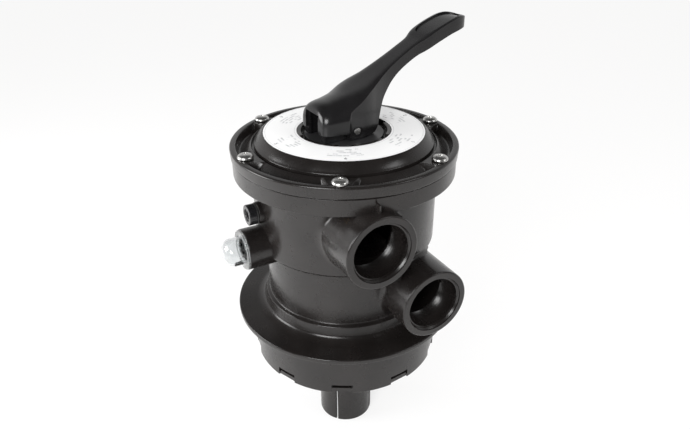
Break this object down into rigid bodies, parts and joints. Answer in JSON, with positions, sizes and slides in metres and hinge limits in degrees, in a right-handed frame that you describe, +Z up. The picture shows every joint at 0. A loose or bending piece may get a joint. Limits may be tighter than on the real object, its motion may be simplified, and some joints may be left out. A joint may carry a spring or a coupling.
{
  "type": "multiport valve",
  "caption": "Top-mount filter valve: housing with threaded ports, bolted lid with dial, press-and-turn lever, internal diverter, skirt and standpipe collar.",
  "frame": {"origin": "on the valve's axis at the underside of the neck flange, where it sits on the tank's neck", "axes": "+Z up along the diverter's axis, -Y the way the two service ports point, -X the way the sight glass and gauge plug point"},
  "size_m": [0.2397, 0.21, 0.4007],
  "materials": {
    "black_plastic": "satin moulded black",
    "label_sheet": "printed sheet",
    "stainless_steel": "bright",
    "brass": "turned",
    "seal_rubber": "matte",
    "natural_plastic": "moulded grey",
    "clear_plastic": "clear moulded"
  },
  "bodies": {
    "housing": {"valve_body": "black_plastic", "lid": "black_plastic", "standpipe_collar": "black_plastic", "diffuser_ring": "black_plastic", "gauge_plug": "black_plastic", "dial_label": "label_sheet", "lid_screw_1": "stainless_steel", "lid_screw_2": "stainless_steel", "lid_screw_3": "stainless_steel", "lid_screw_4": "stainless_steel", "lid_screw_5": "stainless_steel", "lid_screw_6": "stainless_steel", "flange_insert_1": "brass", "flange_insert_2": "brass", "flange_insert_3": "brass", "flange_insert_4": "brass", "flange_insert_5": "brass", "flange_insert_6": "brass", "lid_oring": "seal_rubber", "neck_oring": "seal_rubber", "seat_gasket": "seal_rubber", "sight_gasket": "seal_rubber", "plug_seal": "seal_rubber", "sight_glass": "clear_plastic", "sight_retainer": "clear_plastic"},
    "dial_group": {"thrust_washer": "natural_plastic", "return_spring": "stainless_steel", "spring_washer": "stainless_steel"},
    "diverter": {"diverter_rotor": "black_plastic", "handle_pin": "stainless_steel", "stem_oring_1": "seal_rubber", "stem_oring_2": "seal_rubber"},
    "lever": {"handle": "black_plastic"}
  },
  "joints": [
    {"name": "dial_turn", "type": "hinge", "parent": "housing", "child": "dial_group", "pos_m": [0, 0, 0.166], "axis": [0, 0, 1], "continuous": true},
    {"name": "diverter_lift", "type": "slide", "parent": "dial_group", "child": "diverter", "axis": [0, 0, 1], "range_m": [0, 0.008], "stiffness_N_per_m": 600, "springref_m": -0.006, "deforming": ["return_spring"]},
    {"name": "lever_press", "type": "hinge", "parent": "diverter", "child": "lever", "pos_m": [0, 0, 0.1764], "axis": [-0.0523, 0.9986, 0], "range_deg": [0, 25]}
  ],
  "couplings": [
    {"joint": "diverter_lift", "follows": "lever_press", "m_per_rad": 0.018334}
  ]
}
